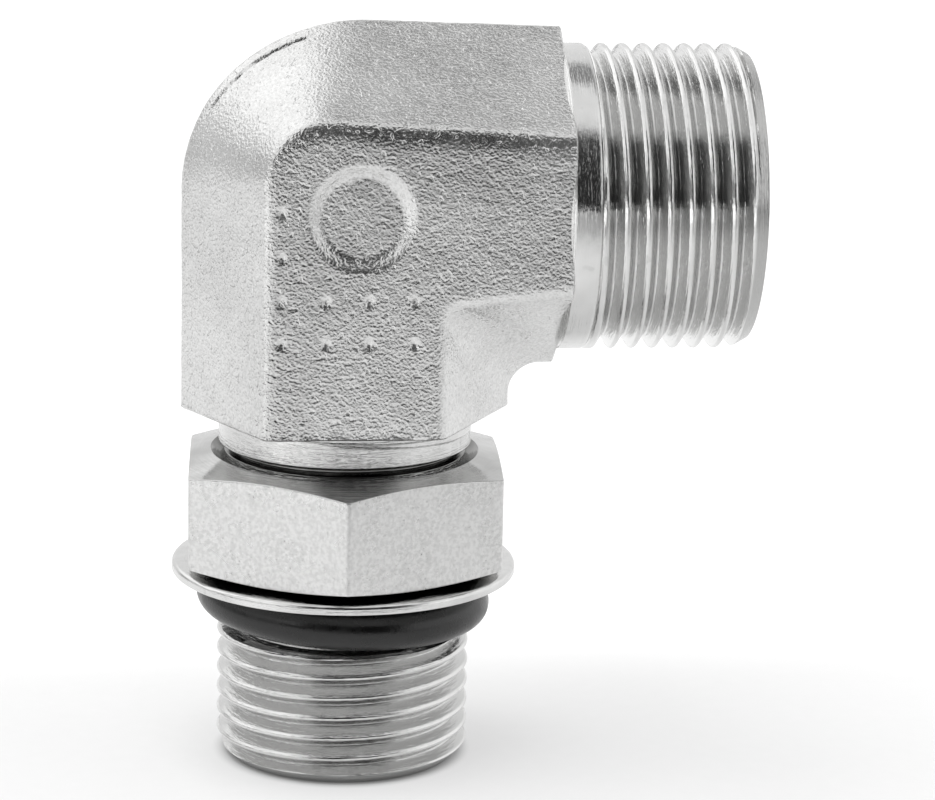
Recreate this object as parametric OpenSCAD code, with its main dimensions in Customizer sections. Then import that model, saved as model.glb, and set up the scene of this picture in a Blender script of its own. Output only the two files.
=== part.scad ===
/* [Forged elbow] */
// Half thickness of the forging, from its parting plane to its flat front
half_depth = 12.6; // [12:0.1:13]
// Half width of the upright leg, out to the ridge on the parting plane
leg_ridge = 14.45; // [13.8:0.05:15.5]
// Half width of the flat front of the upright leg
leg_face = 7.35; // [6:0.05:8.5]
// Length of the upright leg, from the arm's axis down to its cut end
leg_len = 18.6; // [17:0.1:22]
// Half width of the arm at its cut end, out to the ridge on the parting plane
arm_ridge = 14.95; // [14:0.05:15.5]
// How much higher the upper ridge stands over the bend than at the arm's cut end
bend_swell = 0.45; // [0:0.05:1]
// Half width of the flat front of the arm at its cut end
arm_face = 6.15; // [5:0.05:8]
// Length of the forged arm, from the stud's axis to its cut end
arm_len = 18.1; // [17:0.1:22]
// Radius of the bend at the corner of the flat front
bend_r = 5; // [3:0.1:6]
// Rounding of the forged edges
edge_r = 1; // [0.4:0.1:1.5]
// Fillet in the inner corner, on the ridge
inner_fillet = 2.6; // [1.5:0.1:4]
// Fillet in the inner corner, on the flat front
inner_fillet_face = 1.5; // [0.5:0.1:2]
// Fillet in the inner corner, halfway between the two
inner_fillet_mid = 3.8; // [1.5:0.1:4.5]

/* [Round mark on the front] */
// Radius of the recess at the face
mark_r = 4.7; // [3:0.1:5.2]
// Width of the recess's sloping wall
mark_wall = 1.4; // [0.5:0.1:2]
// Depth of the recess
mark_depth = 0.6; // [0.2:0.05:1]

/* [Stud end] */
// Major diameter of the stud's thread
stud_d = 22.2; // [21.6:0.1:22.6]
// Pitch of both threads, 14 turns to the inch
pitch = 1.8143; // [1.5:0.0001:2]
// Depth of both threads
thread_depth = 1.12; // [0.9:0.01:1.16]
// Length of the stud's lower thread, up to the groove for the sealing ring
stud_thread_len = 11.5; // [10:0.1:12.5]
// Height of the groove for the sealing ring
groove_h = 5; // [4.6:0.1:5.4]
// Turn of the stud's lower thread about its axis
stud_thread_turn = -48; // [-180:1:180]
// Diameter of the smooth neck under the forging
neck_d = 22.04; // [21.6:0.02:22.6]
// Length of the smooth neck
neck_len = 2.9; // [2:0.1:3.6]
// Height of the relief between the neck and the upper thread
relief_h = 0.8; // [0.4:0.1:1]
// Chamfer at the end of the stud
stud_chamfer = 1.15; // [0.6:0.05:1.4]
// Diameter of the passage drilled up the stud
stud_bore_d = 12.5; // [10:0.1:14]

/* [Arm end] */
// Major diameter of the arm's thread
arm_d = 26.44; // [25.8:0.02:27]
// Distance from the stud's axis to the end face of the arm
arm_reach = 34.4; // [32:0.1:40]
// Length of the plain collar between the forging and the arm's thread
collar_len = 2.2; // [1:0.1:3.5]
// Chamfer at the end of the arm
arm_chamfer = 0.75; // [0.4:0.05:1.2]
// Turn of the arm's thread about its axis
arm_thread_turn = -136; // [-180:1:180]
// Diameter of the passage drilled along the arm
arm_bore_d = 16; // [12:0.1:17]
// Width of the sealing cone in the arm's mouth, seen from its end
cone_w = 2.3; // [1:0.1:3]
// Included angle of the sealing cone
cone_angle = 60; // [50:1:70]

/* [Lock nut, washer and sealing ring] */
// Lock nut across its flats
nut_af = 27; // [26:0.1:29]
// Height of the lock nut at its inner lips
nut_h = 10; // [9:0.05:10.6]
// Slope of the crowned faces of the nut
nut_crown = 14; // [8:1:20]
// Width of the nut's countersink at both faces
countersink_w = 1.06; // [0.6:0.02:1.4]
// Included angle of the nut's countersink
countersink_angle = 60; // [50:5:90]
// Turn of the nut about the stud
nut_turn = -3.2; // [-30:0.1:30]
// Height that the nut can be wound up the stud, until it meets the neck
nut_travel = 1.7; // [0.5:0.1:4]
// Width of the backup washer's ring
washer_w = 3.85; // [3:0.05:5]
// Thickness of the backup washer
washer_t = 0.87; // [0.5:0.01:1.2]
// Thickness of the rubber sealing ring
ring_t = 3.55; // [2.6:0.05:3.7]
// Tilt of the sealing ring on the stud
ring_tilt = 2.5; // [0:0.1:2.8]

/* [Clearances] */
// Radial running gap between the nut and the stud's upper thread
nut_gap = 0.05; // [0.02:0.01:0.1]
// Radial gap between the washer and the stud's thread
washer_gap = 0.15; // [0.1:0.01:0.3]
// Gap between the sealing ring and the pieces beside it
ring_gap = 0.08; // [0.04:0.01:0.2]
// Gap left between the nut and the neck at the end of its travel
travel_gap = 0.15; // [0.1:0.01:0.3]

/* [Hidden] */

// Overlap that joins neighbouring shapes into one solid
bite = 0.4;
// Straight facets along one turn of a thread
thread_steps = 32;
// Part of the pitch that the flat crest keeps, and part at the root
crest_share = 1 / 8;
root_share = 1 / 4;
// Turns over which the arm's thread runs out
runout_turns = 0.4;
// Angle at which the bend's outer arc gets wider, from the arm's axis
bend_split = 126;
// Slope of a thread's flank, from the axis' normal
flank_angle = 30;
// Height over the crests where a thread's cutter starts
cutter_over = 0.08;
// Point angle of the drilled passages
drill_angle = 118;
// Depth of the sealing ring's groove below the thread's root
groove_cut = 0.7;

stud_r = stud_d / 2;
arm_r = arm_d / 2;
root_r = stud_r - thread_depth;
groove_r = root_r - groove_cut;
// The upper thread stands at its pitch diameter, and so does the nut's thread
upper_thread_r = stud_r - thread_depth / 2;
nut_bore_r = upper_thread_r + nut_gap;
nut_lip_r = nut_bore_r + countersink_w;
groove_top = stud_thread_len + groove_h;
washer_z = groove_top + ring_gap;
nut_z = washer_z + washer_t;
// The neck starts where the raised nut's countersink would meet it
neck_z = nut_z + nut_h - (nut_lip_r - neck_d / 2) / tan(countersink_angle / 2) + nut_travel + travel_gap;
leg_end_z = neck_z + neck_len;
elbow_h = leg_end_z + leg_len;
ring_r = groove_r + ring_gap + ring_t / 2;
ring_drop = (ring_r + ring_t / 2) * sin(ring_tilt);
ring_z = washer_z - ring_gap - ring_t / 2 - ring_drop;

// Middle points of the edge roundings of half a forged section, whose flat front has half width
// w and whose ridge has half width v: first at the flat front, then on the ridge.
function inset(w, v) =
    let (slope = norm([v - w, half_depth]))
    [[(half_depth * v - edge_r * slope - (v - w) * (half_depth - edge_r)) / half_depth,
      half_depth - edge_r],
     [v - edge_r * slope / half_depth, 0]];

// A forged section in the XY plane: two flats, and four slopes that meet on two ridges
module forged_section(w, v) {
    p = inset(w, v);
    offset(r = edge_r, $fn = 20)
        polygon([[p[0][0], p[0][1]], [-p[0][0], p[0][1]], [-p[1][0], 0],
                 [-p[0][0], -p[0][1]], [p[0][0], -p[0][1]], [p[1][0], 0]]);
}

// Middle points of the ridge's rounding round the bend, seen along Y: an arc up the leg, and a
// wider one over the top
function bend_ridge(steps) =
    let (r = inset(leg_face, leg_ridge)[1][0], rise = arm_ridge - leg_ridge,
         wide = r + bend_swell / (1 - sin(bend_split)))
    concat([for (i = [0:steps]) let (a = 180 - (180 - bend_split) * i / steps)
                [r * cos(a), rise + r * sin(a)]],
           [for (i = [1:steps]) let (a = bend_split - (bend_split - 90) * i / steps)
                [(r - wide) * cos(bend_split) + wide * cos(a),
                 rise + (r - wide) * sin(bend_split) + wide * sin(a)]]);

// The outside of the bend, seen along Y: a wide curve on the ridge and a tight arc at each flat
module bend() {
    face_r = bend_r - (leg_face - inset(leg_face, leg_ridge)[0][0]);
    for (p = bend_ridge(9)) translate([p[0], 0, p[1]]) sphere(r = edge_r, $fn = 20);
    rotate([90, 0, 0])
        for (side = [-1, 1])
            translate([bend_r - leg_face, leg_face - bend_r, side * (half_depth - edge_r)])
                rotate_extrude($fn = 32) translate([face_r, 0]) circle(r = edge_r, $fn = 12);
}

// The inner corner's knuckles, where the folds of the two legs meet
module inner_corner() {
    p = inset(leg_face, leg_ridge);
    q = inset(leg_face, arm_ridge);
    for (side = [-1, 1])
        translate([p[0][0], side * p[0][1], -q[0][0]]) sphere(r = edge_r, $fn = 12);
    translate([p[1][0], 0, -q[1][0]]) sphere(r = edge_r, $fn = 12);
}

// Concave fillet along the crease between the two legs, widest between the ridge and the flats
module crease_fillet() {
    steps = 6;
    mid = [(leg_face + leg_ridge) / 2, half_depth / 2, (leg_face + arm_ridge) / 2];
    stations = [[leg_face, -half_depth + edge_r / 2, leg_face, inner_fillet_face],
                [mid[0], -mid[1], mid[2], inner_fillet_mid],
                [leg_ridge, 0, arm_ridge, inner_fillet],
                [mid[0], mid[1], mid[2], inner_fillet_mid],
                [leg_face, half_depth - edge_r / 2, leg_face, inner_fillet_face]];
    last = len(stations) - 1;
    ring = [for (s = stations) each concat([[s[0] - edge_r, s[1], edge_r - s[2]]],
        [for (i = [0:steps]) let (a = 180 - 90 * i / steps, c = edge_r * (s[1] == 0 ? 0.25 : 0.05))
            [s[0] - c + s[3] * (1 + cos(a)), s[1], c - s[2] - s[3] * (1 - sin(a))]])];
    n = steps + 2;
    sides = [for (j = [0:last - 1]) for (i = [0:n - 1])
        let (a = j * n + i, b = j * n + (i + 1) % n)
        each [[a, a + n, b + n], [a, b + n, b]]];
    cap = [for (i = [1:n - 2]) [0, i, i + 1]];
    far_cap = [for (i = [1:n - 2]) [last * n, last * n + i + 1, last * n + i]];
    polyhedron(ring, concat(sides, cap, far_cap));
}

module forging() {
    hull() {
        bend();
        inner_corner();
        translate([0, 0, -leg_len]) linear_extrude(bite) forged_section(leg_face, leg_ridge);
    }
    hull() {
        bend();
        inner_corner();
        translate([arm_len - bite, 0, 0]) rotate([90, 0, 90]) rotate(90) linear_extrude(bite)
            forged_section(arm_face, arm_ridge);
    }
    crease_fillet();
}

// Four corners of the thread's cutter at turn t, for a thread of radius r that runs up Z
function cutter_ring(t, r, depth) =
    let (out = r + cutter_over, root = r - depth, a = 360 * t,
         w = pitch * (1 - crest_share) / 2 + cutter_over * tan(flank_angle),
         u = max(w - (depth + cutter_over) * tan(flank_angle), pitch * root_share / 4))
    [for (p = [[out, -w], [root, -u], [root, u], [out, w]])
        [p[0] * cos(a), p[0] * sin(a), pitch * t + p[1]]];

// Helical cutter of a right-hand thread, which runs out over the last part of a turn
module thread_cutter(turns, r, runout) {
    n = ceil(turns * thread_steps);
    points = [for (i = [0:n]) let (t = turns * i / n)
        each cutter_ring(t, r, thread_depth * min(1, max(0.02, (turns - t) / max(runout, 0.01))))];
    sides = [for (i = [0:n - 1]) for (k = [0:3])
        let (a = 4 * i + k, b = 4 * i + (k + 1) % 4)
        each [[a, a + 4, b + 4], [a, b + 4, b]]];
    polyhedron(points, concat([[0, 1, 2], [0, 2, 3]], sides,
        [[4 * n, 4 * n + 2, 4 * n + 1], [4 * n, 4 * n + 3, 4 * n + 2]]), convexity = 10);
}

// The turned stud under the forging: end chamfer, thread, groove, upper thread, relief and neck
module turned_stud() {
    rotate_extrude($fn = 96)
        polygon([[0, 0], [stud_r - stud_chamfer, 0], [stud_r, stud_chamfer], [stud_r, stud_thread_len],
                 [groove_r, stud_thread_len], [groove_r, groove_top], [upper_thread_r, groove_top],
                 [upper_thread_r, neck_z - relief_h], [root_r, neck_z - relief_h], [root_r, neck_z],
                 [neck_d / 2, neck_z], [neck_d / 2, leg_end_z + bite], [0, leg_end_z + bite]]);
}

// The turned end of the arm, along X: collar, thread and end chamfer
module turned_arm() {
    translate([0, 0, elbow_h]) rotate([0, 90, 0]) rotate_extrude($fn = 96)
        polygon([[0, arm_len - bite], [arm_r, arm_len - bite], [arm_r, arm_reach - arm_chamfer],
                 [arm_r - arm_chamfer, arm_reach], [0, arm_reach]]);
}

// Both drilled passages, which meet at the bend, and the sealing cone in the arm's mouth
module passages() {
    drill_tip = tan(90 - drill_angle / 2);
    translate([0, 0, -bite]) cylinder(d = stud_bore_d, h = elbow_h + bite, $fn = 72);
    translate([0, 0, elbow_h]) rotate([0, 90, 0]) {
        cylinder(d = arm_bore_d, h = arm_reach + bite, $fn = 72);
        cone_h = cone_w / tan(cone_angle / 2);
        cone_r = arm_bore_d / 2 + cone_w;
        translate([0, 0, arm_reach - cone_h]) rotate_extrude($fn = 72)
            polygon([[0, 0], [arm_bore_d / 2, 0], [cone_r, cone_h], [cone_r, cone_h + bite],
                     [0, cone_h + bite]]);
        rotate_extrude($fn = 72)
            polygon([[0, bite], [arm_bore_d / 2, bite], [arm_bore_d / 2, 0],
                     [0, -arm_bore_d / 2 * drill_tip]]);
    }
}

module elbow_body() {
    color("silver") difference() {
        union() {
            translate([0, 0, elbow_h]) forging();
            turned_stud();
            turned_arm();
        }
        passages();
        translate([0, 0, -pitch]) rotate(stud_thread_turn)
            thread_cutter((stud_thread_len + 2 * pitch) / pitch, stud_r, 0);
        translate([arm_reach + pitch, 0, elbow_h]) rotate([0, -90, 0]) rotate(arm_thread_turn)
            thread_cutter((arm_reach - arm_len - collar_len + pitch) / pitch, arm_r, runout_turns);
        translate([0, -half_depth - bite, elbow_h]) rotate([-90, 0, 0]) rotate_extrude($fn = 64)
            polygon([[0, 0], [mark_r, 0], [mark_r, bite], [mark_r - mark_wall, bite + mark_depth],
                     [0, bite + mark_depth]]);
    }
}

module lock_nut() {
    sink_h = countersink_w / tan(countersink_angle / 2);
    corner_r = nut_af / sqrt(3) + bite;
    crown_h = (corner_r - nut_lip_r) * tan(nut_crown);
    color("silver") translate([0, 0, nut_z]) intersection() {
        rotate(30 + nut_turn) cylinder(d = nut_af / cos(30), h = nut_h, $fn = 6);
        rotate_extrude($fn = 96)
            polygon([[nut_bore_r, sink_h], [nut_lip_r, 0], [corner_r, crown_h],
                     [corner_r, nut_h - crown_h], [nut_lip_r, nut_h], [nut_bore_r, nut_h - sink_h]]);
    }
}

module backup_washer() {
    hole_r = stud_r + washer_gap;
    color("gainsboro") translate([0, 0, washer_z]) difference() {
        cylinder(r = hole_r + washer_w, h = washer_t, $fn = 96);
        translate([0, 0, -bite]) cylinder(r = hole_r, h = washer_t + 2 * bite, $fn = 96);
    }
}

module sealing_ring() {
    color("#202022") translate([0, 0, ring_z]) rotate([0, ring_tilt, 0])
        rotate_extrude($fn = 96) translate([ring_r, 0]) circle(d = ring_t, $fn = 48);
}

elbow_body();
lock_nut();
backup_washer();
sealing_ring();
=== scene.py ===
"""Looks of the ninety degree hydraulic hose fitting, built round its solids."""
import math

import bpy
import numpy as np
from mathutils import Matrix, Vector, noise


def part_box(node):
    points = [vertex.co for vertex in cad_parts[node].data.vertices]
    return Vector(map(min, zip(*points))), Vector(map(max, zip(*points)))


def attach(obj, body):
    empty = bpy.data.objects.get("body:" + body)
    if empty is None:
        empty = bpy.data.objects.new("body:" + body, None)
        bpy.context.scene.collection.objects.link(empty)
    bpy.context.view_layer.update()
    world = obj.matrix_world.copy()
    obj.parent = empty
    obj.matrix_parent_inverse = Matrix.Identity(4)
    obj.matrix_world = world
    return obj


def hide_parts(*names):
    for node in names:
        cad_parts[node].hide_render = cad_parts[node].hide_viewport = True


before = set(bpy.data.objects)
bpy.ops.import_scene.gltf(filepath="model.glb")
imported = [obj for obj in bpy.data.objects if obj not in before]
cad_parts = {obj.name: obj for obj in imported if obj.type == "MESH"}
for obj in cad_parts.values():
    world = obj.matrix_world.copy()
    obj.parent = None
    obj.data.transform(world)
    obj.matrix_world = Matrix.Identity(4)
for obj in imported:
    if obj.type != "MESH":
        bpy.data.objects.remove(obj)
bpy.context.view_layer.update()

# ---------------------------------------------------------------- sizes, in millimetres
MM = 0.001
# points nearer to each other than this are joined
WELD = 2e-4

# the forging, about the crossing of the two axes
HALF_DEPTH = 12.6
LEG_RIDGE = 14.45
ARM_RIDGE = 14.95
LEG_LEN = 18.6
ARM_LEN = 18.1
# past this angle the outer bend is wider, so that it tops out this much above the arm's ridge
BEND_SPLIT = math.radians(126)
BEND_SWELL = 0.45
# edges of the flat front and back, and their rounding in the bend
LEG_FACE = 7.35
ARM_FACE = 6.15
BEND_R = 5.0
# the inner corner's fillet: at the ridge, half way to the flat and at the flat
INNER_FILLET = 2.6
INNER_FILLET_MID = 3.8
INNER_FILLET_FACE = 1.5
# bevel round the two cut ends, and how far these ends reach in under the neck and the collar
CUT_EDGE = 0.14
LEG_LAP = 0.6
ARM_LAP = 1.2
# rounding of the ridges, of the outer folds on the leg and on the arm, and of the inner folds
RIDGE_R = 1.0
LEG_FOLD_R = 1.6
ARM_FOLD_R = 2.6
INNER_FOLD_R = 1.4
# the surface turns by about twice 30 degrees at each of them
HALF_TURN = math.tan(math.radians(30))
# an outer fold turns faster towards the slope than towards the flat
FOLD_TO_SLOPE = 0.55
FOLD_TO_FLAT = 1.35
# how much further out the corners of the outer folds stand than the edges of the flat: arm, leg
FOLD_LIFT = 0.75
FOLD_OUT = 0.35
# depth of the forged surface's waviness
WAVE_DEPTH = 0.07
# the crease that the trimmed flash left beside the outer ridge, and the part of the bend where it is clear
FLASH_Y = 1.2
FLASH_DEPTH = 0.34
FLASH_W = 0.12
FLASH_AT = math.radians(54)
FLASH_SPAN = math.radians(25)

# the round recess in the front: its middle (x, z), radius, width of its wall and depth
MARK = (0.3, 0.3)
MARK_R = 4.7
MARK_WALL = 1.4
MARK_DEPTH = 0.6
# the small dots: x of the columns, then z of each row and the number of dots in it
DOT_COLUMNS = (-6.4, -2.7, 0.9, 4.7)
DOT_ROWS = ((0.8, 1), (-3.0, 1), (-6.7, 4), (-10.3, 4))
DOT_R = 0.36
DOT_DEPTH = 0.30
# points within this distance of the flat belong to it
FLAT_NEAR = 0.02

# the forging's grid: rows up the leg, round the bend's three parts and along the arm
LEG_ROWS, BEND_ROWS, ARM_ROWS = 46, (36, 106, 36), 50
ARC_ROWS = sum(BEND_ROWS)
# columns on the outer slope, the flat and the inner slope, and across each fold and each ridge
FRONT_CELLS = (39, 118, 30, 8)
BACK_CELLS = (27, 34, 16, 6)
RIDGE_CELLS = 8
# the outer slope's first share, which takes a third of its columns for the crease
CREASE_SHARE = 0.14

# both threads
PITCH = 1.8143
THREAD_DEPTH = 1.12
CREST_SHARE = 0.16
FLANK = math.radians(30)
CREST_ROUND = 0.26
ROOT_ROUND = 0.34
TURN_STEPS = 288
PITCH_STEPS = 24

# the stud, from its end face up
STUD_R = 11.1
STUD_CHAMFER = 1.15
STUD_THREAD = 11.5
STUD_TURN = -48
STUD_EDGE = 0.12
GROOVE_TOP = 16.5
GROOVE_FILLET = 0.2
ROOT_R = STUD_R - THREAD_DEPTH
GROOVE_R = ROOT_R - 0.7
UPPER_R = STUD_R - THREAD_DEPTH / 2
NECK_R = 11.02
NECK_LEN = 2.9
NECK_STEP = 0.05
NECK_FLARE = 0.22
RELIEF = 0.8
STUD_BORE_R = 6.25
# shallow turning lines on the neck: share of its height, slant and seed of each
NECK_LINES = ((0.68, -0.27, 5.0), (0.76, -0.12, 17.0))
NECK_LINE_W = 0.05
NECK_LINE_DEPTH = 0.14

# the arm's turned end
ARM_R = 13.22
COLLAR = 2.2
COLLAR_EDGE = 0.35
COLLAR_END = 0.2
ARM_CHAMFER = 0.75
ARM_CHAMFER_LEN = 1.35
LAST_GROOVE = 0.75
ARM_TURN = -136
RUNOUT = 0.4
ARM_BORE_R = 8.0
CONE_W = 2.3
CONE_H = CONE_W / math.tan(math.radians(30))

# lock nut, washer and sealing ring
NUT_AF = 27.0
NUT_TURN = -3.2
NUT_CROWN = math.radians(14)
NUT_CORNER = 0.45
NUT_EDGE = 0.13
NUT_BORE_R = UPPER_R + 0.05
SINK_W = 1.06
SINK_SLOPE = math.tan(math.radians(30))
SINK_H = SINK_W / SINK_SLOPE
NUT_LIP_R = NUT_BORE_R + SINK_W
NUT_TRAVEL = 1.85
WASHER_GAP = 0.15
RING_T = 3.55
RING_GAP = 0.08
RING_TILT = math.radians(2.5)
ROUND_STEPS = 240

# the camera, about the crossing of the axes
CAMERA_AT = (-24.568, -300.505, 54.632)
CAMERA_DOWN = math.radians(13.522)
CAMERA_YAW = math.radians(6.700)
CAMERA_ROLL = math.radians(1.172)
FOCAL_PIXELS = 3554.33
FRAME_PIXELS = 935


def box_mm(node):
    """The two corners of a solid's box, in millimetres."""
    lo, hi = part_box(node)
    return [c / MM for c in lo], [c / MM for c in hi]


ARM_REACH = box_mm("elbow_body")[1][0]
nut_lo, nut_hi = box_mm("lock_nut")
washer_lo, washer_hi = box_mm("backup_washer")
ring_lo, ring_hi = box_mm("sealing_ring")
NECK_Z = nut_hi[2] - (NUT_LIP_R - NECK_R) / SINK_SLOPE + NUT_TRAVEL
ELBOW_H = NECK_Z + NECK_LEN + LEG_LEN


# ---------------------------------------------------------------- meshes
def weld(points, faces):
    """Joins points that coincide, and drops the faces that this closes up."""
    keys = np.round(points / WELD).astype(np.int64)
    _, first, back = np.unique(keys, axis=0, return_index=True, return_inverse=True)
    faces = back.reshape(-1)[faces]
    after = np.roll(faces, -1, axis=1)
    whole = (faces != after).all(axis=1)
    out = faces[whole].tolist()
    for face, following in zip(faces[~whole].tolist(), after[~whole].tolist()):
        kept = [a for a, b in zip(face, following) if a != b]
        if len(kept) >= 3 and len(set(kept)) == len(kept):
            out.append(kept)
    return points[first], out


def piece(name, points, faces, body, nodes, slot, sharp):
    """A shaded mesh piece that rides on a body and stands for solids. Points are in millimetres."""
    points, faces = weld(np.asarray(points, float), np.asarray(faces, int))
    mesh = bpy.data.meshes.new(name)
    mesh.from_pydata((points * MM).tolist(), [], faces)
    mesh.validate()
    mesh.polygons.foreach_set("use_smooth", [True] * len(mesh.polygons))
    mesh.set_sharp_from_angle(angle=math.radians(sharp))
    mesh.update()
    obj = bpy.data.objects.new(name, mesh)
    bpy.context.scene.collection.objects.link(obj)
    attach(obj, body)
    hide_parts(*nodes)
    return obj


def strip(rows, columns, closed=True, flip=False):
    """Quads of a grid of rows x columns points, closed round its columns."""
    i = np.arange(columns if closed else columns - 1)
    j = np.arange(rows - 1)[:, None]
    a = j * columns + i
    b = j * columns + (i + 1) % columns
    quads = np.stack([a, b, b + columns, a + columns], -1).reshape(-1, 4)
    return quads[:, ::-1] if flip else quads


def rounded(profile, radius, steps=4):
    """A polyline of (r, axial) corners with its inner corners rounded.

    A corner's third value is its own radius.
    """
    most_of_side, straight = 0.45, math.radians(88)
    out = [profile[0][:2]]
    for k in range(1, len(profile) - 1):
        p, a, b = (np.array(profile[m][:2], float) for m in (k, k - 1, k + 1))
        da, db = a - p, b - p
        la, lb = np.linalg.norm(da), np.linalg.norm(db)
        half = math.acos(float(np.clip(da @ db / (la * lb), -1, 1))) / 2
        rad = profile[k][2] if len(profile[k]) > 2 else radius
        if rad <= 0 or half > straight:
            out.append(tuple(p))
            continue
        t = min(rad / math.tan(half), la * most_of_side, lb * most_of_side)
        rad = t * math.tan(half)
        way = da / la + db / lb
        centre = p + way / np.linalg.norm(way) * rad / math.sin(half)
        first, last = p + da / la * t - centre, p + db / lb * t - centre
        for m in range(steps + 1):
            v = first * (1 - m / steps) + last * m / steps
            out.append(tuple(centre + v / np.linalg.norm(v) * rad))
    out.append(profile[-1][:2])
    return out


def circle(count):
    return np.arange(count) * 2 * math.pi / count


def upright(r, angle, axial):
    """Points round the stud's axis."""
    return np.stack([r * np.cos(angle), r * np.sin(angle), axial], -1)


def along_arm(r, angle, axial):
    """Points round the arm's axis."""
    return np.stack([axial, r * np.sin(angle), ELBOW_H + r * np.cos(angle)], -1)


def lathe(profile, columns, place):
    """Rings of a turned shape. place(r, angle, axial) gives the points."""
    angle = circle(columns)
    return np.concatenate([place(np.full(columns, r), angle, np.full(columns, a)) for r, a in profile])


def turned_part(profile, place, flip=False):
    return lathe(profile, TURN_STEPS, place), strip(len(profile), TURN_STEPS, flip=flip)


def join(*parts):
    """One set of points and quads from several."""
    points, faces, base = [], [], 0
    for p, f in parts:
        points.append(p)
        faces.append(f + base)
        base += len(p)
    return np.concatenate(points), np.concatenate(faces)


def eased(share):
    """A share from 0 to 1 that starts and ends gently."""
    return share * share * (3 - 2 * share)


def smooth_max(a, b, k):
    h = np.clip(0.5 + 0.5 * (a - b) / k, 0, 1)
    return b * (1 - h) + a * h + k * h * (1 - h)


def thread_cut(from_groove, depth):
    """Depth of a thread at a distance along the axis from the middle of its groove."""
    wide = PITCH * (1 - CREST_SHARE) / 2
    flank = (wide - np.abs(from_groove)) / math.tan(FLANK)
    return np.maximum(-smooth_max(-smooth_max(flank, 0 * flank, CREST_ROUND), -depth, ROOT_ROUND), 0)


def from_nearest(axial, groove):
    """Distance along the axis from the nearest turn of a groove."""
    return (axial - groove + PITCH / 2) % PITCH - PITCH / 2


def thread_band(lo, hi, hand, radius_at, place, flip):
    """The skin of a thread between two planes, on a grid whose rows follow the helix."""
    turn = np.arange(TURN_STEPS + 1)
    lead = hand * PITCH * turn / TURN_STEPS
    row_count = int((hi - lo) / PITCH * PITCH_STEPS) + PITCH_STEPS + 2
    rows = np.arange(-PITCH_STEPS, row_count) * PITCH / PITCH_STEPS
    axial = np.clip(lo + rows[:, None] + lead[None, :], lo, hi)
    angles = np.broadcast_to(turn * 2 * math.pi / TURN_STEPS, axial.shape)
    points = place(radius_at(angles, axial), angles, axial).reshape(-1, 3)
    return points, strip(len(rows), TURN_STEPS + 1, closed=False, flip=flip)


# ---------------------------------------------------------------- the forging
def outer_guide(arcs, end, leg_z, arm_x):
    """An outer line seen along Y: up the leg, round the arcs and straight on to the end.

    Each arc is (centre x, centre z, radius, first angle). leg_z and arm_x part the grid's rows.
    """
    cx, cz, r, _ = arcs[-1]
    to_end = np.array([end[0] - cx, end[1] - cz])
    last = math.atan2(to_end[1], to_end[0]) + math.acos(r / np.linalg.norm(to_end))
    side = arcs[0][0] - arcs[0][2]
    before, inside, after = BEND_ROWS
    up = np.concatenate([np.linspace(-LEG_LEN + CUT_EDGE, leg_z, LEG_ROWS),
                         np.linspace(leg_z, arcs[0][1], before + 1)[1:]])
    angle = np.linspace(math.pi, last, inside + 1)[1:]
    round_x, round_z = np.zeros(inside), np.zeros(inside)
    for x, z, radius, first in arcs:
        on = angle <= first
        round_x[on] = (x + radius * np.cos(angle))[on]
        round_z[on] = (z + radius * np.sin(angle))[on]
    along = np.concatenate([np.linspace(round_x[-1], arm_x, after + 1)[1:],
                            np.linspace(arm_x, ARM_LEN - CUT_EDGE, ARM_ROWS)[1:]])
    slope = (end[1] - round_z[-1]) / (end[0] - round_x[-1])
    x = np.concatenate([np.full(len(up), side), round_x, along])
    z = np.concatenate([up, round_z, round_z[-1] + slope * (along - round_x[-1])])
    return np.stack([x, z], -1)


def inner_guide(tau):
    """The inner line at share tau of the way from the fold to the ridge: up the leg, a fillet, along the arm."""
    corner = np.array([LEG_FACE + (LEG_RIDGE - LEG_FACE) * tau, -LEG_FACE - (ARM_RIDGE - LEG_FACE) * tau])
    end = np.array([ARM_LEN, -ARM_FACE - (ARM_RIDGE - ARM_FACE) * tau])
    # the fillet is widest between the fold and the ridge
    bow = 4 * INNER_FILLET_MID - 2 * (INNER_FILLET_FACE + INNER_FILLET)
    radius = INNER_FILLET_FACE * (1 - tau) + INNER_FILLET * tau + bow * tau * (1 - tau)
    down, along = np.array([0.0, -1.0]), (end - corner) / np.linalg.norm(end - corner)
    half = math.acos(float(down @ along)) / 2
    middle = corner + (down + along) / np.linalg.norm(down + along) * radius / math.sin(half)
    low = corner + down * radius / math.tan(half)
    rise = np.linspace(-LEG_LEN + CUT_EDGE, low[1], LEG_ROWS)
    leg = np.stack([np.full(LEG_ROWS, corner[0]), rise], -1)
    sweep = np.linspace(math.pi, half * 2, ARC_ROWS + 1)[1:]
    arc = middle + radius * np.stack([np.cos(sweep), np.sin(sweep)], -1)
    reach = np.linspace(arc[-1][0], ARM_LEN - CUT_EDGE, ARM_ROWS)[1:]
    arm = np.stack([reach, arc[-1][1] + (reach - arc[-1][0]) * along[1] / along[0]], -1)
    return np.concatenate([leg, arc, arm])


def conic(a, corner, b, steps, share=0.866):
    """An arc from a to b that is tangent to the way from a to the corner and on to b."""
    u = np.linspace(0, 1, steps + 1)[:, None, None]
    wa, wc, wb = (1 - u) ** 2, 2 * u * (1 - u) * share, u ** 2
    return (wa * a + wc * corner + wb * b) / (wa + wc + wb)


def towards(a, b, distance):
    """Points at a distance from a on the way to b."""
    way = b - a
    return a + way / np.linalg.norm(way, axis=-1, keepdims=True) * np.reshape(distance, (-1, 1))


def across(a, b, shares):
    """Lines of points at shares of the way from a to b."""
    return a + (b - a) * np.asarray(shares)[:, None, None]


def at_y(guide, y):
    return np.stack([guide[:, 0], np.full(len(guide), float(y)), guide[:, 1]], -1)


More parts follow.
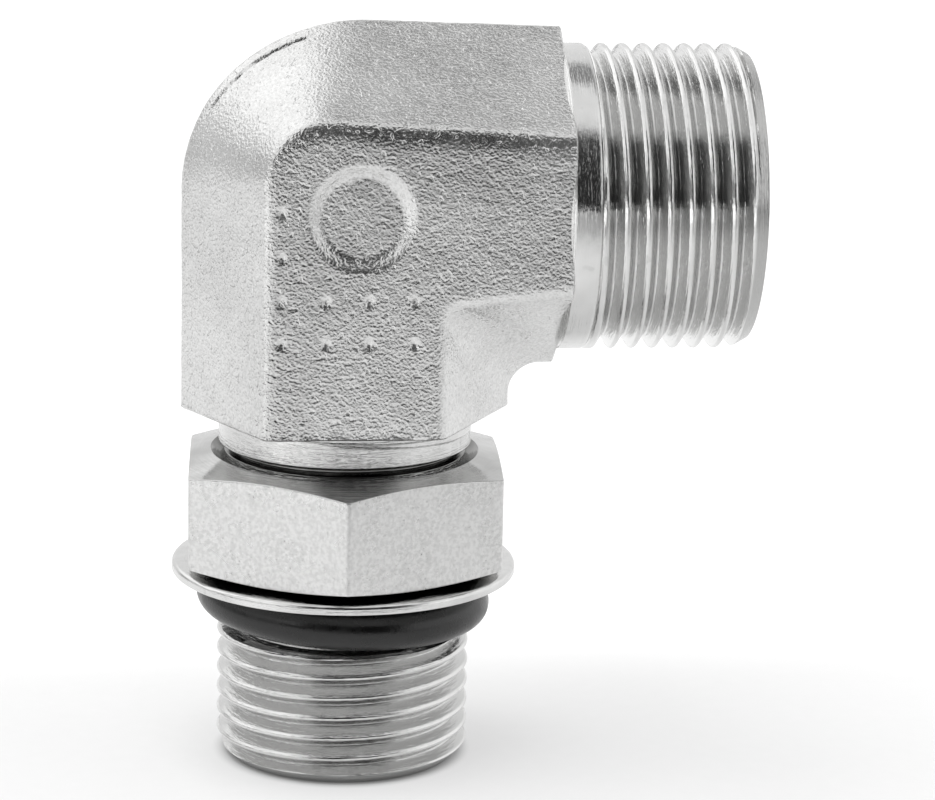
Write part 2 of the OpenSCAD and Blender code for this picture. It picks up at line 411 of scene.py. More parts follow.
def half_skin(side, slope_cells, face_cells, inner_cells, fold_cells):
    """One side of the forging, front or back, from the outer ridge over the flat to the inner ridge."""
    leg_z, arm_x = inner_guide(0)[LEG_ROWS - 1][1], inner_guide(0)[LEG_ROWS + ARC_ROWS - 1][0]
    swell = BEND_SWELL / (1 - math.sin(BEND_SPLIT))
    rise = ARM_RIDGE - LEG_RIDGE
    wide_arc = (-swell * math.cos(BEND_SPLIT), rise - swell * math.sin(BEND_SPLIT), LEG_RIDGE + swell, BEND_SPLIT)
    ridge = outer_guide([(0, rise, LEG_RIDGE, math.pi), wide_arc], (ARM_LEN, ARM_RIDGE), leg_z, arm_x)
    fold_c = LEG_FACE - BEND_R
    fold = outer_guide([(-fold_c - FOLD_OUT, fold_c + FOLD_LIFT, BEND_R, math.pi)],
                       (ARM_LEN, ARM_FACE + FOLD_LIFT), leg_z, arm_x)
    y = side * HALF_DEPTH
    tip, edge = at_y(ridge, 0), at_y(fold, y)
    share = np.clip((np.arange(len(fold)) - LEG_ROWS - BEND_ROWS[0]) / BEND_ROWS[1], 0, 1)
    fold_r = LEG_FOLD_R + (ARM_FOLD_R - LEG_FOLD_R) * eased(share)

    # the inner slope, as a grid from the fold to the ridge
    in_edge, in_tip = at_y(inner_guide(0), y), at_y(inner_guide(1), 0)
    slope_w = math.hypot(LEG_RIDGE - LEG_FACE, HALF_DEPTH)
    first, last = INNER_FOLD_R * HALF_TURN / slope_w, 1 - RIDGE_R * HALF_TURN / slope_w
    slope = [at_y(inner_guide(s), y * (1 - s)) for s in np.linspace(first, last, inner_cells + 1)]

    other_side, middle = [1, -1, 1], RIDGE_CELLS // 2
    on_slope = towards(tip, edge, RIDGE_R * HALF_TURN)
    fold_a = towards(edge, tip, fold_r * HALF_TURN * FOLD_TO_SLOPE)
    fold_b = towards(edge, in_edge, fold_r * HALF_TURN * FOLD_TO_FLAT)
    in_a = towards(in_edge, edge, INNER_FOLD_R * HALF_TURN)
    near = np.linspace(0, CREASE_SHARE, slope_cells // 3 + 1)[1:]
    beyond = np.linspace(CREASE_SHARE, 1, slope_cells - len(near) + 1)[1:-1]
    return np.concatenate([
        conic(on_slope * other_side, tip, on_slope, RIDGE_CELLS)[middle:],
        across(on_slope, fold_a, np.concatenate([near, beyond])),
        conic(fold_a, edge, fold_b, fold_cells),
        across(fold_b, in_a, np.linspace(0, 1, face_cells + 1)[1:-1]),
        conic(in_a, in_edge, slope[0], fold_cells),
        np.array(slope[1:-1]),
        conic(slope[-1], in_tip, slope[-1] * other_side, RIDGE_CELLS)[:middle + 1]])


def forged_skin():
    """A grid of points: rows run along the elbow, columns round it."""
    front, back = half_skin(-1, *FRONT_CELLS), half_skin(1, *BACK_CELLS)
    return np.concatenate([front, back[::-1][1:-1]]).transpose(1, 0, 2)


def outward_normals(rings):
    along_rows = np.gradient(rings, axis=0)
    round_them = np.roll(rings, -1, axis=1) - np.roll(rings, 1, axis=1)
    normal = np.cross(round_them, along_rows)
    return normal / np.maximum(np.linalg.norm(normal, axis=-1, keepdims=True), 1e-9)


def wander(points, per_mm, seed):
    """Smooth noise from -1 to 1 at each point."""
    flat = points.reshape(-1, 3) * per_mm + seed
    return np.array([noise.noise(Vector(p)) for p in flat]).reshape(points.shape[:-1])


def marks(x, y, z):
    """Depth of the round recess and of the dots in the flat front."""
    depth = MARK_DEPTH * eased(np.clip((MARK_R - np.hypot(x - MARK[0], z - MARK[1])) / MARK_WALL, 0, 1))
    for row_z, dots in DOT_ROWS:
        for column_x in DOT_COLUMNS[:dots]:
            d = np.hypot(x - column_x, z - row_z) / DOT_R
            depth = depth + DOT_DEPTH * np.exp(-d * d * 1.4)
    return depth * np.clip((-y - HALF_DEPTH + FLAT_NEAR) / FLAT_NEAR, 0, 1)


def crease(rings, slow, quick):
    """Depth of the flash's crease: an interrupted line beside the outer ridge, clearest in the bend."""
    x, y, z = np.moveaxis(rings, -1, 0)
    outer = np.clip((-x + 4) / 6, 0, 1) + np.clip((z - 8) / 3, 0, 1)
    bend = np.clip(1 - np.abs(np.arctan2(z, -x) - FLASH_AT) / FLASH_SPAN, 0, 1)
    where = np.clip(outer, 0, 1) * (0.10 + 0.90 * np.clip(bend * 3, 0, 1)) * np.clip((10 - x) / 8, 0, 1)
    broken = np.clip(1.1 + 1.8 * wander(rings, 1.7, 29.0), 0, 1)
    line = np.exp(-((np.abs(y) - FLASH_Y - 0.12 * slow - 0.10 * quick) / FLASH_W) ** 2)
    return FLASH_DEPTH * line * where * broken


def wear_in(rings):
    """Lets the forged surface wander a little, and adds the crease, the recess and the dots."""
    slow, quick = wander(rings, 0.30, 3.0), wander(rings, 1.05, 11.0)
    inwards = np.clip(0.5 + 0.5 * slow + 0.25 * quick, 0, 1.4) * WAVE_DEPTH + crease(rings, slow, quick)
    # the outlines of the two cut ends stay nearly true
    inwards[[0, -1]] *= 0.3
    moved = rings - outward_normals(rings) * inwards[..., None]
    moved[..., 1] += marks(*np.moveaxis(rings, -1, 0))
    moved[..., 2] += ELBOW_H
    return moved


def cut_end(ring, centre, axis, inner_r):
    """The bevelled rim of a cut end and the circle where its flat face stops."""
    rim = centre + (ring - centre) * (1 - CUT_EDGE / HALF_DEPTH)
    rim[:, axis] = centre[axis]
    way = rim - centre
    return rim, centre + way / np.linalg.norm(way, axis=1, keepdims=True) * inner_r


def forging():
    rings = wear_in(forged_skin())
    low_rim, low_in = cut_end(rings[0], np.array([0, 0, ELBOW_H - LEG_LEN]), 2, NECK_R - LEG_LAP)
    high_rim, high_in = cut_end(rings[-1], np.array([ARM_LEN, 0, ELBOW_H]), 0, ARM_R - ARM_LAP)
    rows = np.concatenate([low_in[None], low_rim[None], rings, high_rim[None], high_in[None]])
    return rows.reshape(-1, 3), strip(len(rows), rings.shape[1])


# ---------------------------------------------------------------- turned parts
def stud():
    """Foot, thread, the sealing ring's groove, the part under the nut, relief and neck."""
    def radius(angle, axial):
        groove = PITCH * ((np.degrees(angle) - STUD_TURN) / 360 - 1)
        r = STUD_R - thread_cut(from_nearest(axial, groove), THREAD_DEPTH)
        r = np.minimum(r, STUD_R - STUD_CHAMFER + axial)
        return np.minimum(r, STUD_R - STUD_EDGE + (STUD_THREAD - axial))

    band = thread_band(0, STUD_THREAD, 1, radius, upright, False)
    angle, level = circle(TURN_STEPS), np.full(TURN_STEPS, STUD_THREAD)
    floor_r = GROOVE_R + GROOVE_FILLET
    shoulder = np.concatenate([upright(radius(angle, level), angle, level),
                               upright(np.full(TURN_STEPS, floor_r), angle, level)])
    foot = rounded([(STUD_BORE_R, 0.5), (STUD_BORE_R + 0.4, 0.0), (STUD_R - STUD_CHAMFER, 0.0)], 0.1)
    above = rounded([(floor_r, STUD_THREAD), (GROOVE_R, STUD_THREAD + GROOVE_FILLET), (GROOVE_R, GROOVE_TOP),
                     (UPPER_R, GROOVE_TOP), (UPPER_R, NECK_Z - RELIEF), (ROOT_R, NECK_Z - RELIEF + 0.3),
                     (ROOT_R, NECK_Z, 0.25), (NECK_R, NECK_Z, 0.15),
                     (NECK_R, NECK_Z + NECK_LEN * 0.80, 0.1), (NECK_R + NECK_STEP, NECK_Z + NECK_LEN * 0.82, 0.1),
                     (NECK_R + NECK_STEP, NECK_Z + NECK_LEN * 0.93, 0.1),
                     (NECK_R + NECK_FLARE, NECK_Z + NECK_LEN, 0.1),
                     (NECK_R - 0.4, NECK_Z + NECK_LEN + 0.2)], 0.12)
    # closer rows on the neck, for the turning lines that come and go there
    k = next(i for i, corner in enumerate(above) if corner[1] > NECK_Z + NECK_LEN * 0.7)
    above[k:k] = [(NECK_R, NECK_Z + NECK_LEN * share) for share in np.linspace(0.44, 0.79, 40)]
    turned, quads = turned_part(above, upright)
    height = turned[:, 2] - NECK_Z
    on_neck = (height > 0.4 * NECK_LEN) & (height < 0.8 * NECK_LEN)
    round_front = np.arctan2(turned[:, 0], -turned[:, 1])
    for share, slant, seed in NECK_LINES:
        middle = NECK_LEN * (share + slant * np.sin(round_front))
        line = np.exp(-((height - middle) / NECK_LINE_W) ** 2) * on_neck
        there = np.clip(0.8 + 2.0 * wander(turned * [1, 1, 0], 0.13, seed), 0, 1)
        turned[:, :2] *= (1 - NECK_LINE_DEPTH / NECK_R * line * there)[:, None]
    return join(band, (shoulder, strip(2, TURN_STEPS)), turned_part(foot, upright), (turned, quads))


def arm_end():
    """Collar, thread with its run-out, chamfer and the sealing cone in the mouth."""
    start = ARM_LEN + COLLAR
    turns = (ARM_REACH - start + PITCH) / PITCH

    def radius(angle, axial):
        groove = ARM_REACH + PITCH - PITCH * (np.degrees(angle) - ARM_TURN) / 360
        off = from_nearest(axial, groove)
        fade = np.clip((turns - (ARM_REACH + PITCH - (axial - off)) / PITCH) / RUNOUT, 0, 1)
        r = ARM_R - thread_cut(off, THREAD_DEPTH * np.maximum(fade, 0.001)) * (fade > 0)
        r = np.where(axial <= start - PITCH, ARM_R, r)
        r = np.maximum(r, ARM_R - THREAD_DEPTH * np.clip((ARM_REACH - LAST_GROOVE - axial) / 0.5, 0, 1))
        r = np.minimum(r, ARM_R - ARM_CHAMFER * (1 - (ARM_REACH - axial) / ARM_CHAMFER_LEN))
        return np.minimum(r, ARM_R - COLLAR_END + (axial - start) * 1.2)

    band = thread_band(start, ARM_REACH, -1, radius, along_arm, True)
    collar = rounded([(NECK_R, ARM_LEN - COLLAR_EDGE - 0.3), (ARM_R - 0.7, ARM_LEN - COLLAR_EDGE - 0.12),
                      (ARM_R, ARM_LEN - 0.07, 0.06), (ARM_R, start - COLLAR_END * 1.5, 0.4),
                      (ARM_R - COLLAR_END * 0.35, start - COLLAR_END * 0.6, 0.4),
                      (ARM_R - COLLAR_END, start)], 0.05)
    angle, level = circle(TURN_STEPS), np.full(TURN_STEPS, start)
    shoulder = np.concatenate([along_arm(np.full(TURN_STEPS, ARM_R - COLLAR_END), angle, level),
                               along_arm(radius(angle, level), angle, level)])
    mouth = rounded([(ARM_R - ARM_CHAMFER, ARM_REACH), (ARM_BORE_R + CONE_W, ARM_REACH, 0.12),
                     (ARM_BORE_R, ARM_REACH - CONE_H)], 0.1)
    return join(band, turned_part(collar, along_arm, True), (shoulder, strip(2, TURN_STEPS, flip=True)),
                turned_part(mouth, along_arm, True))


def passages():
    """The drilled surfaces inside, taken over from the solid."""
    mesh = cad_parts["elbow_body"].data
    co = np.array([v.co for v in mesh.vertices]) / MM
    x, y, z = co.T
    near = 0.03
    in_stud = (np.hypot(x, y) < STUD_BORE_R + near) & (z < ELBOW_H + near)
    in_arm = (np.hypot(y, z - ELBOW_H) < ARM_BORE_R + near) & (x < ARM_REACH - CONE_H + near)
    keep = in_stud | in_arm
    faces = [list(p.vertices) for p in mesh.polygons if all(keep[v] for v in p.vertices)]
    return co, np.array([[*face, face[-1]] for face in faces])


# ---------------------------------------------------------------- nut, washer and ring
def hexagon(angle, flat, corner):
    """Radius of a hexagon with rounded corners; flat is half its width across the flats."""
    turned = (angle - math.radians(30 + NUT_TURN)) % (math.pi / 3) - math.pi / 6
    from_corner = math.pi / 6 - np.abs(turned)
    centre = (flat - corner) / math.cos(math.pi / 6)
    inside = centre * np.sin(from_corner) / corner
    rounding = centre * np.cos(from_corner) + corner * np.sqrt(np.clip(1 - inside ** 2, 0, 1))
    edge = math.pi / 6 - math.atan((flat - corner) * math.tan(math.pi / 6) / flat)
    return np.where(from_corner < edge, rounding, flat / np.cos(turned))


def lock_nut():
    """Rings of points from the bore over the lower crown, the sides and the upper crown to the bore."""
    flat, height = NUT_AF / 2, nut_hi[2] - nut_lo[2]
    base = math.radians(30 + NUT_TURN)
    # closer columns towards the corners
    share = np.linspace(-1, 1, 61)
    one = np.sign(share) * (1 - (1 - np.abs(share)) ** 1.8) * math.pi / 6
    angle = np.concatenate([base + k * math.pi / 3 + one[:-1] + math.pi / 6 for k in range(6)])
    side = hexagon(angle, flat, NUT_CORNER)
    crown = (side - NUT_LIP_R) * math.tan(NUT_CROWN)

    def ring(r, z):
        return upright(r, angle, nut_lo[2] + z)

    full = np.full(len(angle), 1.0)
    lower = [ring(full * r, full * z) for r, z in (
        (NUT_BORE_R, height / 2), (NUT_BORE_R, SINK_H + 0.06), (NUT_BORE_R + 0.06, SINK_H - 0.06),
        (NUT_LIP_R - 0.05, 0.07), (NUT_LIP_R + 0.05, 0.02))]
    for m in range(1, 9):
        r = NUT_LIP_R + (side - NUT_EDGE - NUT_LIP_R) * m / 8
        lower.append(ring(r, (r - NUT_LIP_R) * math.tan(NUT_CROWN)))
    for m in (1, 2, 3):
        a = math.radians(30 * m) * 0.86
        lower.append(ring(side - NUT_EDGE + NUT_EDGE * math.sin(a),
                          crown - NUT_EDGE * 0.25 + NUT_EDGE * (1 - math.cos(a))))
    lower.append(ring(side, crown + NUT_EDGE * 1.1))
    middle = [ring(side, crown + (height - 2 * crown) * m / 6) for m in range(1, 6)]
    upper = [r * [1, 1, -1] + [0, 0, nut_lo[2] + nut_hi[2]] for r in lower[::-1]]
    rows = lower + middle + upper
    return np.concatenate(rows), strip(len(rows), len(angle))


def backup_washer():
    hole, rim = STUD_R + WASHER_GAP, washer_hi[0]
    lo, hi = washer_lo[2], washer_hi[2]
    middle = (hole, (lo + hi) / 2)
    profile = rounded([middle, (hole, lo, 0.1), (rim, lo, 0.16), (rim, hi, 0.42), (hole, hi, 0.12), middle], 0, 6)
    return lathe(profile, ROUND_STEPS, upright), strip(len(profile), ROUND_STEPS)


def sealing_ring():
    middle_r, steps = GROOVE_R + RING_GAP + RING_T / 2, 48
    profile = [(middle_r + RING_T / 2 * math.cos(a), RING_T / 2 * math.sin(a)) for a in circle(steps)]
    points = lathe(profile + profile[:1], ROUND_STEPS, upright)
    tilt = np.array(Matrix.Rotation(RING_TILT, 3, "Y"))
    return points @ tilt.T + [0, 0, (ring_lo[2] + ring_hi[2]) / 2], strip(steps + 1, ROUND_STEPS)


# ---------------------------------------------------------------- materials
class Nodes:
    """Short calls to make and wire shader nodes."""

    def __init__(self, tree):
        self.tree = tree

    def add(self, kind, values=None, **fields):
        node = self.tree.nodes.new(kind)
        for k, v in fields.items():
            setattr(node, k, v)
        for k, v in (values or {}).items():
            if isinstance(v, bpy.types.NodeSocket):
                self.tree.links.new(v, node.inputs[k])
            else:
                node.inputs[k].default_value = v
        return node

    def math(self, operation, a, b=0.0):
        return self.add("ShaderNodeMath", {0: a, 1: b}, operation=operation).outputs[0]

    def plus(self, a, b):
        return self.math("ADD", a, b)

    def minus(self, a, b):
        return self.math("SUBTRACT", a, b)

    def times(self, a, b):
        return self.math("MULTIPLY", a, b)

    def length(self, a, b):
        return self.math("SQRT", self.plus(self.times(a, a), self.times(b, b)))

    def spread(self, value, lo, hi, to_lo, to_hi):
        """Takes lo...hi to to_lo...to_hi, gently at both ends and level beyond them."""
        values = {"Value": value, "From Min": lo, "From Max": hi, "To Min": to_lo, "To Max": to_hi}
        return self.add("ShaderNodeMapRange", values, interpolation_type="SMOOTHSTEP").outputs["Result"]

    def grain(self, place, per_mm, detail=2.0, rough=0.5):
        """Noise from 0 to 1 with so many grains a millimetre."""
        values = {"Vector": place, "Scale": per_mm / MM, "Detail": detail, "Roughness": rough}
        return self.add("ShaderNodeTexNoise", values).outputs["Fac"]

    def parts(self, vector):
        return self.add("ShaderNodeSeparateXYZ", {0: vector}).outputs

    def mixed(self, factor, a, b):
        """A colour between two colours, each an RGB triple or a socket."""
        node = self.add("ShaderNodeMix", {"Factor": factor}, data_type="RGBA")
        for name, colour in (("A", a), ("B", b)):
            if isinstance(colour, bpy.types.NodeSocket):
                self.tree.links.new(colour, node.inputs[name])
            else:
                node.inputs[name].default_value = (*colour, 1)
        return node.outputs["Result"]


def new_material(name):
    material = bpy.data.materials.new(name)
    material.use_nodes = True
    material.node_tree.nodes.clear()
    n = Nodes(material.node_tree)
    shader = n.add("ShaderNodeBsdfPrincipled")
    n.add("ShaderNodeOutputMaterial", {"Surface": shader.outputs[0]})
    return material, n, shader, n.add("ShaderNodeTexCoord").outputs["Object"]


def surface(n, shader, colour, rough, height, depth, strength=1.0, metallic=1.0):
    """Wires a surface's colour, roughness and relief, whose depth is in metres."""
    bump = n.add("ShaderNodeBump", {"Height": height, "Strength": strength, "Distance": depth})
    for name, value in (("Base Color", colour), ("Roughness", rough), ("Normal", bump.outputs[0])):
        n.tree.links.new(value, shader.inputs[name])
    shader.inputs["Metallic"].default_value = metallic


def zinc(grey):
    """A grey with zinc's faint warmth."""
    return grey, grey, grey - 0.005


def forged_zinc():
    """Zinc over a blasted forging: satin, with dimples of about a third of a millimetre all over."""
    material, n, shader, place = new_material("forged_zinc")
    cells = n.add("ShaderNodeTexVoronoi", {"Vector": place, "Scale": 3.6 / MM}, feature="F1").outputs["Distance"]
    dimples = n.plus(n.times(n.grain(place, 4.8, 1.0, 0.5), 0.65), n.times(cells, 0.35))
    coarse = n.grain(place, 1.2, 2.0, 0.5)
    patch = n.grain(place, 0.11, 3.0, 0.55)
    pits = n.spread(n.grain(place, 2.1, 0.5, 0.4), 0.62, 0.78, 0.0, 1.0)
    height = n.minus(n.plus(dimples, n.times(coarse, 0.35)), n.times(pits, 0.5))
    shade = n.plus(n.spread(patch, 0.3, 0.7, 0.0, 0.5), n.spread(dimples, 0.35, 0.65, 0.0, 0.5))
    surface(n, shader, n.mixed(shade, zinc(0.58), zinc(0.78)), n.spread(patch, 0.3, 0.7, 0.25, 0.32),
            height, 0.000085)
    return material


def turned_zinc(name, axis, line_depth, rough, crest=0.5, root=0.0, flank_shade_greys=(0.6, 0.6)):
    """Zinc over turned steel: near mirror, with turning lines round the axis and a faint haze in patches.

    Thread flanks, between the radii root and crest, have rougher lines and two greys of painted light: the
    first where they face against the axis, the second where they face along it. A grey below the crests'
    paints shade into the grooves, and two unlike greys paint one flank lit and the other shaded. Without a
    thread the two radii are so small that no face is a flank.
    """
    material, n, shader, place = new_material(name)
    u, w = (n.parts(place)[k] for k in range(3) if k != axis)
    if axis == 0:
        w = n.minus(w, ELBOW_H * MM)
    radius = n.length(u, w)
    flank = n.times(n.spread(radius, (crest - 0.22) * MM, (crest - 0.08) * MM, 1.0, 0.0),
                    n.spread(radius, (root + 0.02) * MM, (root + 0.2) * MM, 0.3, 1.0))
    stretch = [0.05, 0.05, 0.05]
    stretch[axis] = 1.0
    long = n.add("ShaderNodeMapping", {"Vector": place, "Scale": stretch}).outputs[0]
    lines = n.plus(n.grain(long, 6.5, 3.0, 0.7), n.times(n.grain(long, 1.8, 2.0, 0.6), 0.8))
    depth = n.times(n.plus(1.0, n.times(flank, 0.7)), line_depth)
    chatter = n.grain(place, 1.1, 2.0, 0.5)
    height = n.plus(n.times(lines, depth), n.times(chatter, 0.25))
    haze = n.grain(place, 0.16, 3.0, 0.6)
    specks = n.spread(n.grain(place, 0.9, 0.0, 0.0), 0.72, 0.80, 0.0, 1.0)
    shade = n.minus(n.spread(haze, 0.3, 0.7, 0.3, 1.0), n.times(specks, 0.4))
    facing = n.parts(n.add("ShaderNodeTexCoord").outputs["Normal"])[axis]
    # painted shade and painted highlight on the thread flanks, by the way they face
    painted_flank_grey = n.mixed(n.spread(facing, -0.5, 0.5, 0.0, 1.0), *(zinc(grey) for grey in flank_shade_greys))
    surface(n, shader, n.mixed(flank, n.mixed(shade, zinc(0.58), zinc(0.73)), painted_flank_grey),
            n.spread(haze, 0.3, 0.75, rough, rough + 0.06), height, 0.00006)
    return material


def faced_zinc(name, low, high):
    """Zinc over faces that were turned across the axis: bright rings round it, in greys from low to high."""
    material, n, shader, place = new_material(name)
    x, y, _ = n.parts(place)
    ring_place = n.add("ShaderNodeCombineXYZ", {0: n.length(x, y), 1: n.times(x, 0.04), 2: n.times(y, 0.04)})
    rings = n.grain(ring_place.outputs[0], 4.5, 3.0, 0.7)
    haze = n.grain(place, 0.2, 3.0, 0.6)
    surface(n, shader, n.mixed(n.spread(haze, 0.3, 0.7, 0.0, 1.0), zinc(low), zinc(high)),
            n.spread(haze, 0.3, 0.7, 0.07, 0.12), rings, 0.000035)
    return material


def drawn_zinc():
    """The nut's sides: drawn hexagon bar under zinc, bright with a fine cloudy grain."""
    material, n, shader, place = new_material("nut_zinc")
    fine = n.grain(place, 4.4, 2.0, 0.6)
    cloud = n.grain(place, 0.22, 3.0, 0.6)
    pits = n.spread(n.grain(place, 4.6, 1.0, 0.3), 0.66, 0.80, 0.0, 1.0)
    speckle = n.spread(n.grain(place, 2.8, 1.0, 0.5), 0.3, 0.7, -0.35, 0.35)
    height = n.minus(n.times(fine, 0.8), n.times(pits, 0.4))
    shade = n.plus(n.minus(n.spread(cloud, 0.3, 0.7, 0.40, 0.80), n.times(pits, 0.5)), speckle)
    surface(n, shader, n.mixed(shade, zinc(0.56), zinc(0.71)), n.spread(cloud, 0.3, 0.7, 0.24, 0.34),
            height, 0.00004)
    return material


def rubber():
    """Black nitrile rubber: smooth, with a soft sheen and a little dust."""
    material, n, shader, place = new_material("nitrile_rubber")
    dust = n.grain(place, 0.5, 4.0, 0.6)
    fine = n.grain(place, 4.0, 2.0, 0.5)
    colour = n.mixed(n.spread(dust, 0.4, 0.75, 0.0, 1.0), (0.004, 0.004, 0.004), (0.011, 0.011, 0.0112))
    surface(n, shader, colour, n.spread(dust, 0.35, 0.7, 0.24, 0.38), fine, 0.00003, 0.5, 0.0)
    return material


# ---------------------------------------------------------------- the pieces
def lay(obj, material, where):
    """Adds a material to a piece, on the faces for which where(radius, height, level) holds.

    level is 1 for a face across the stud's axis and 0 for one along it.
    """
    obj.data.materials.append(material)
    for polygon in obj.data.polygons:
        x, y, z = polygon.center
        if where(math.hypot(x, y) / MM, z / MM, abs(polygon.normal.z)):
            polygon.material_index = len(obj.data.materials) - 1


def turned_face(radius, height, level):
    """Faces across the axis, and those of the bore."""
    return level > 0.45 or radius < NUT_LIP_R + 0.1


forged = forged_zinc()
# painted shade: the stud's flanks keep the crests' lowest grey, so its grooves look shaded
stud_zinc = turned_zinc("turned_zinc_upright", 2, 0.75, 0.12, STUD_R, ROOT_R, (0.58, 0.58))
# painted highlight and painted shade: the arm's flanks are light where they face against its axis and dark where
# they face along it
arm_zinc = turned_zinc("turned_zinc_along", 0, 0.8, 0.11, ARM_R, ARM_R - THREAD_DEPTH, (0.80, 0.44))
plain_zinc = turned_zinc("turned_zinc_plain", 2, 0.6, 0.15)
bar_zinc = drawn_zinc()
# painted shade: the nut's crowns get darker greys than the washer's faces, standing in for the shade they lie in
crown_shade_zinc = faced_zinc("crown_shade_zinc", 0.43, 0.56)
washer_zinc = faced_zinc("washer_zinc", 0.57, 0.71)
# painted shade: a near-black zinc for the shaded gap round the stud under the nut
recess_shade_zinc = faced_zinc("recess_shade_zinc", 0.12, 0.26)
black = rubber()

pieces = {}
for name, make, body, node, slot_name, material, sharp in (
        ("elbow_forging", forging, "elbow", "elbow_body", "forged_zinc", forged, 50),
        ("elbow_stud", stud, "elbow", "elbow_body", "turned_zinc", stud_zinc, 38),
        ("elbow_arm_end", arm_end, "elbow", "elbow_body", "turned_zinc", arm_zinc, 38),
        ("elbow_passages", passages, "elbow", "elbow_body", "turned_zinc", plain_zinc, 38),
        ("hexagon_nut", lock_nut, "nut", "lock_nut", "turned_zinc", bar_zinc, 38),
        ("flat_washer", backup_washer, "washer", "backup_washer", "turned_zinc", plain_zinc, 45),
        ("rubber_ring", sealing_ring, "elbow", "sealing_ring", "rubber", black, 60)):
    pieces[name] = piece(name, *make(), body, [node], slot_name, sharp)
    pieces[name].data.materials.append(material)
lay(pieces["hexagon_nut"], crown_shade_zinc, turned_face)
lay(pieces["flat_washer"], washer_zinc, turned_face)
# painted shade: a dark zinc inside the nut, and on the stud where the nut runs, stands in for the shade in that
# gap
lay(pieces["hexagon_nut"], recess_shade_zinc, lambda radius, height, level: radius < NUT_LIP_R)
lay(pieces["elbow_stud"], recess_shade_zinc,
    lambda radius, height, level: NECK_Z - 4 < height < NECK_Z + 0.02 and radius < NECK_R)
for name, material in (("elbow_body", forged), ("lock_nut", bar_zinc),
                       ("backup_washer", plain_zinc), ("sealing_ring", black)):
    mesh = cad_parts[name].data
    mesh.materials.clear()
    mesh.materials.append(material)


# ---------------------------------------------------------------- floor, light and camera
def paper_floor():
    """White paper lit from all over the room, so its shadows stay soft: part of its white is glow, which also
    carries painted shade round the fitting and painted reflections seen in the metal.
    """
    size = 3.0
    mesh = bpy.data.meshes.new("floor")
    mesh.from_pydata([(-size, -size, 0), (size, -size, 0), (size, size, 0), (-size, size, 0)], [], [(0, 1, 2, 3)])
    floor = bpy.data.objects.new("floor", mesh)
    floor.location.z = -0.00002
    bpy.context.scene.collection.objects.link(floor)
    material, n, shader, place = new_material("paper_white")
    colour = n.mixed(n.grain(place, 0.6, 2.0, 0.5), (0.41, 0.41, 0.41), (0.43, 0.43, 0.43))
    n.tree.links.new(colour, shader.inputs["Base Color"])
    shader.inputs["Roughness"].default_value = 0.9
    shader.inputs["Specular IOR Level"].default_value = 0.0
    shader.inputs["Emission Color"].default_value = (1, 1, 1, 1)
    px, py, _ = n.parts(place)
    path = n.add("ShaderNodeLightPath").outputs
    reach = n.length(px, py)
    # seen directly: white, with painted shade a little greyer beside and in front of the fitting, most on its
    # left
    near = n.times(n.spread(py, 0.016, 0.050, 1.0, 0.0), n.spread(reach, 0.05, 0.16, 1.0, 0.0))
    seen = n.minus(n.minus(0.20, n.times(near, 0.20)), n.times(near, n.spread(px, -0.015, 0.005, 0.06, 0.0)))
    # painted reflections, seen only in the metal: in front brighter to the left, a painted glint patch further
    # left, and dimmer further off in front
    painted_glint_patch = n.times(n.spread(px, -0.22, -0.17, 0.8, 0.0), n.spread(py, -0.13, -0.09, 1.0, 0.0))
    front = n.times(n.spread(px, -0.14, 0.14, 0.10, -0.10), n.spread(py, -0.01, 0.01, 1.0, 0.0))
    dim = n.times(n.spread(py, -0.20, -0.05, 0.45, 0.0), n.spread(px, -0.16, -0.06, 0.0, 1.0))
    painted_reflection = n.minus(n.plus(painted_glint_patch, front), dim)
    glow = n.plus(0.50, n.times(seen, path["Is Camera Ray"]))
    glow = n.plus(glow, n.times(painted_reflection, path["Is Glossy Ray"]))
    # painted contact shadow: the glow drops to a tenth close round the stud's foot
    glow = n.times(glow, n.spread(reach, (STUD_R - 1.4) * MM, (STUD_R + 0.5) * MM, 0.1, 1.0))
    n.tree.links.new(glow, shader.inputs["Emission Strength"])
    floor.data.materials.append(material)


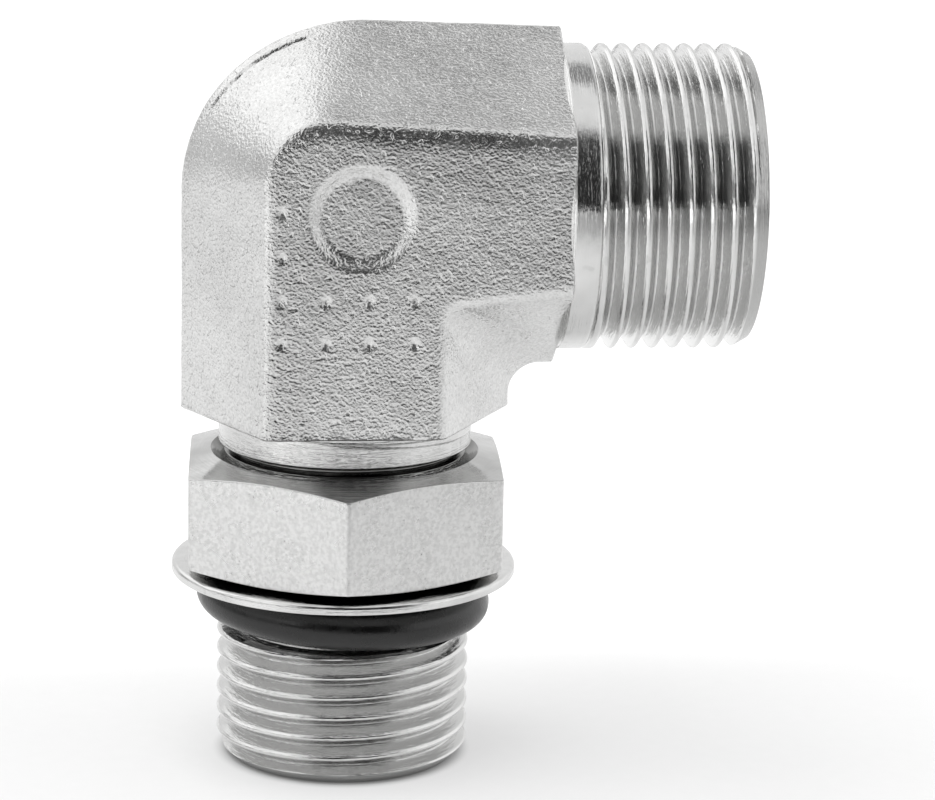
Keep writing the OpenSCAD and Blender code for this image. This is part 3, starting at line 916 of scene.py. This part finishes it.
def room():
    """The room's light, in greys by direction: bands from front to back, then side walls and soft boxes."""
    world = bpy.data.worlds.new("studio")
    bpy.context.scene.world = world
    world.use_nodes = True
    world.node_tree.nodes.clear()
    n = Nodes(world.node_tree)
    x, y, z = n.parts(n.add("ShaderNodeTexCoord").outputs["Generated"])
    # 0 is level in front, 0.5 straight up and 1 level behind
    turn = n.math("DIVIDE", n.math("ARCTAN2", z, n.times(y, -1.0)), math.pi)
    sky = n.add("ShaderNodeValToRGB", {"Fac": turn})
    stops = ((0.0, 0.02), (0.15, 0.03), (0.30, 0.06), (0.36, 0.95), (0.555, 1.05),
             (0.588, 0.30), (0.68, 0.26), (0.73, 0.90), (1.0, 0.95))
    ramp = sky.color_ramp
    while len(ramp.elements) < len(stops):
        ramp.elements.new(0.5)
    for element, (at, grey) in zip(ramp.elements, stops):
        element.position = at
        element.color = (grey, grey, grey, 1)

    # a pale wall on the right; a dim one on the left, less dim behind; soft boxes high up behind and on the left
    right, left = n.spread(x, 0.55, 0.80, 0.0, 1.0), n.spread(x, -0.80, -0.50, 1.0, 0.0)
    left_back = n.times(left, n.spread(y, 0.0, 0.25, 0.0, 1.0))
    high_box = n.times(n.times(n.spread(z, 0.22, 0.42, 0.0, 1.0), n.spread(x, -0.20, -0.02, 1.0, 0.0)),
                       n.spread(y, 0.05, 0.22, 0.0, 1.0))
    left_box = n.times(n.times(n.spread(z, 0.15, 0.35, 0.0, 1.0), n.spread(x, -0.62, -0.42, 1.0, 0.0)),
                       n.spread(y, 0.0, 0.15, 1.0, 0.0))
    light = sky.outputs["Color"]
    for share, grey in ((right, 1.15), (left, 0.22), (left_back, 0.55), (high_box, 1.4), (left_box, 1.25)):
        light = n.mixed(share, light, (grey, grey, grey))
    seen = n.add("ShaderNodeLightPath").outputs["Is Camera Ray"]
    back = n.add("ShaderNodeBackground", {"Color": n.mixed(seen, light, (1, 1, 1)), "Strength": 1.0})
    n.add("ShaderNodeOutputWorld", {"Surface": back.outputs[0]})


def overhead_lamp():
    lamp = bpy.data.lights.new("overhead", "AREA")
    lamp.shape = "RECTANGLE"
    lamp.size, lamp.size_y = 0.9, 0.5
    lamp.energy = 4.5
    overhead = bpy.data.objects.new("overhead", lamp)
    overhead.location = (-0.18, -0.06, 0.85)
    aim = Vector(overhead.location) - Vector((0, 0, 0.03))
    overhead.rotation_euler = aim.to_track_quat("Z", "Y").to_euler()
    overhead.visible_glossy = False
    bpy.context.scene.collection.objects.link(overhead)


def photo_camera():
    cos_p, sin_p = math.cos(CAMERA_DOWN), math.sin(CAMERA_DOWN)
    cos_y, sin_y = math.cos(CAMERA_YAW), math.sin(CAMERA_YAW)
    forward = Vector((sin_y * cos_p, cos_y * cos_p, -sin_p))
    right = Vector((cos_y, -sin_y, 0))
    up = right.cross(forward)
    c, s = math.cos(CAMERA_ROLL), math.sin(CAMERA_ROLL)
    cam_x, cam_y = c * right + s * up, c * up - s * right
    data = bpy.data.cameras.new("camera")
    data.sensor_width = 36.0
    data.lens = FOCAL_PIXELS / FRAME_PIXELS * data.sensor_width
    data.clip_start, data.clip_end = 0.01, 20
    cam = bpy.data.objects.new("camera", data)
    rotation = Matrix((cam_x, cam_y, -forward)).transposed().to_4x4()
    at = Vector((CAMERA_AT[0], CAMERA_AT[1], CAMERA_AT[2] + ELBOW_H)) * MM
    cam.matrix_world = Matrix.Translation(at) @ rotation
    bpy.context.scene.collection.objects.link(cam)
    bpy.context.scene.camera = cam


paper_floor()
room()
overhead_lamp()
photo_camera()
bpy.context.scene.view_settings.view_transform = "Standard"
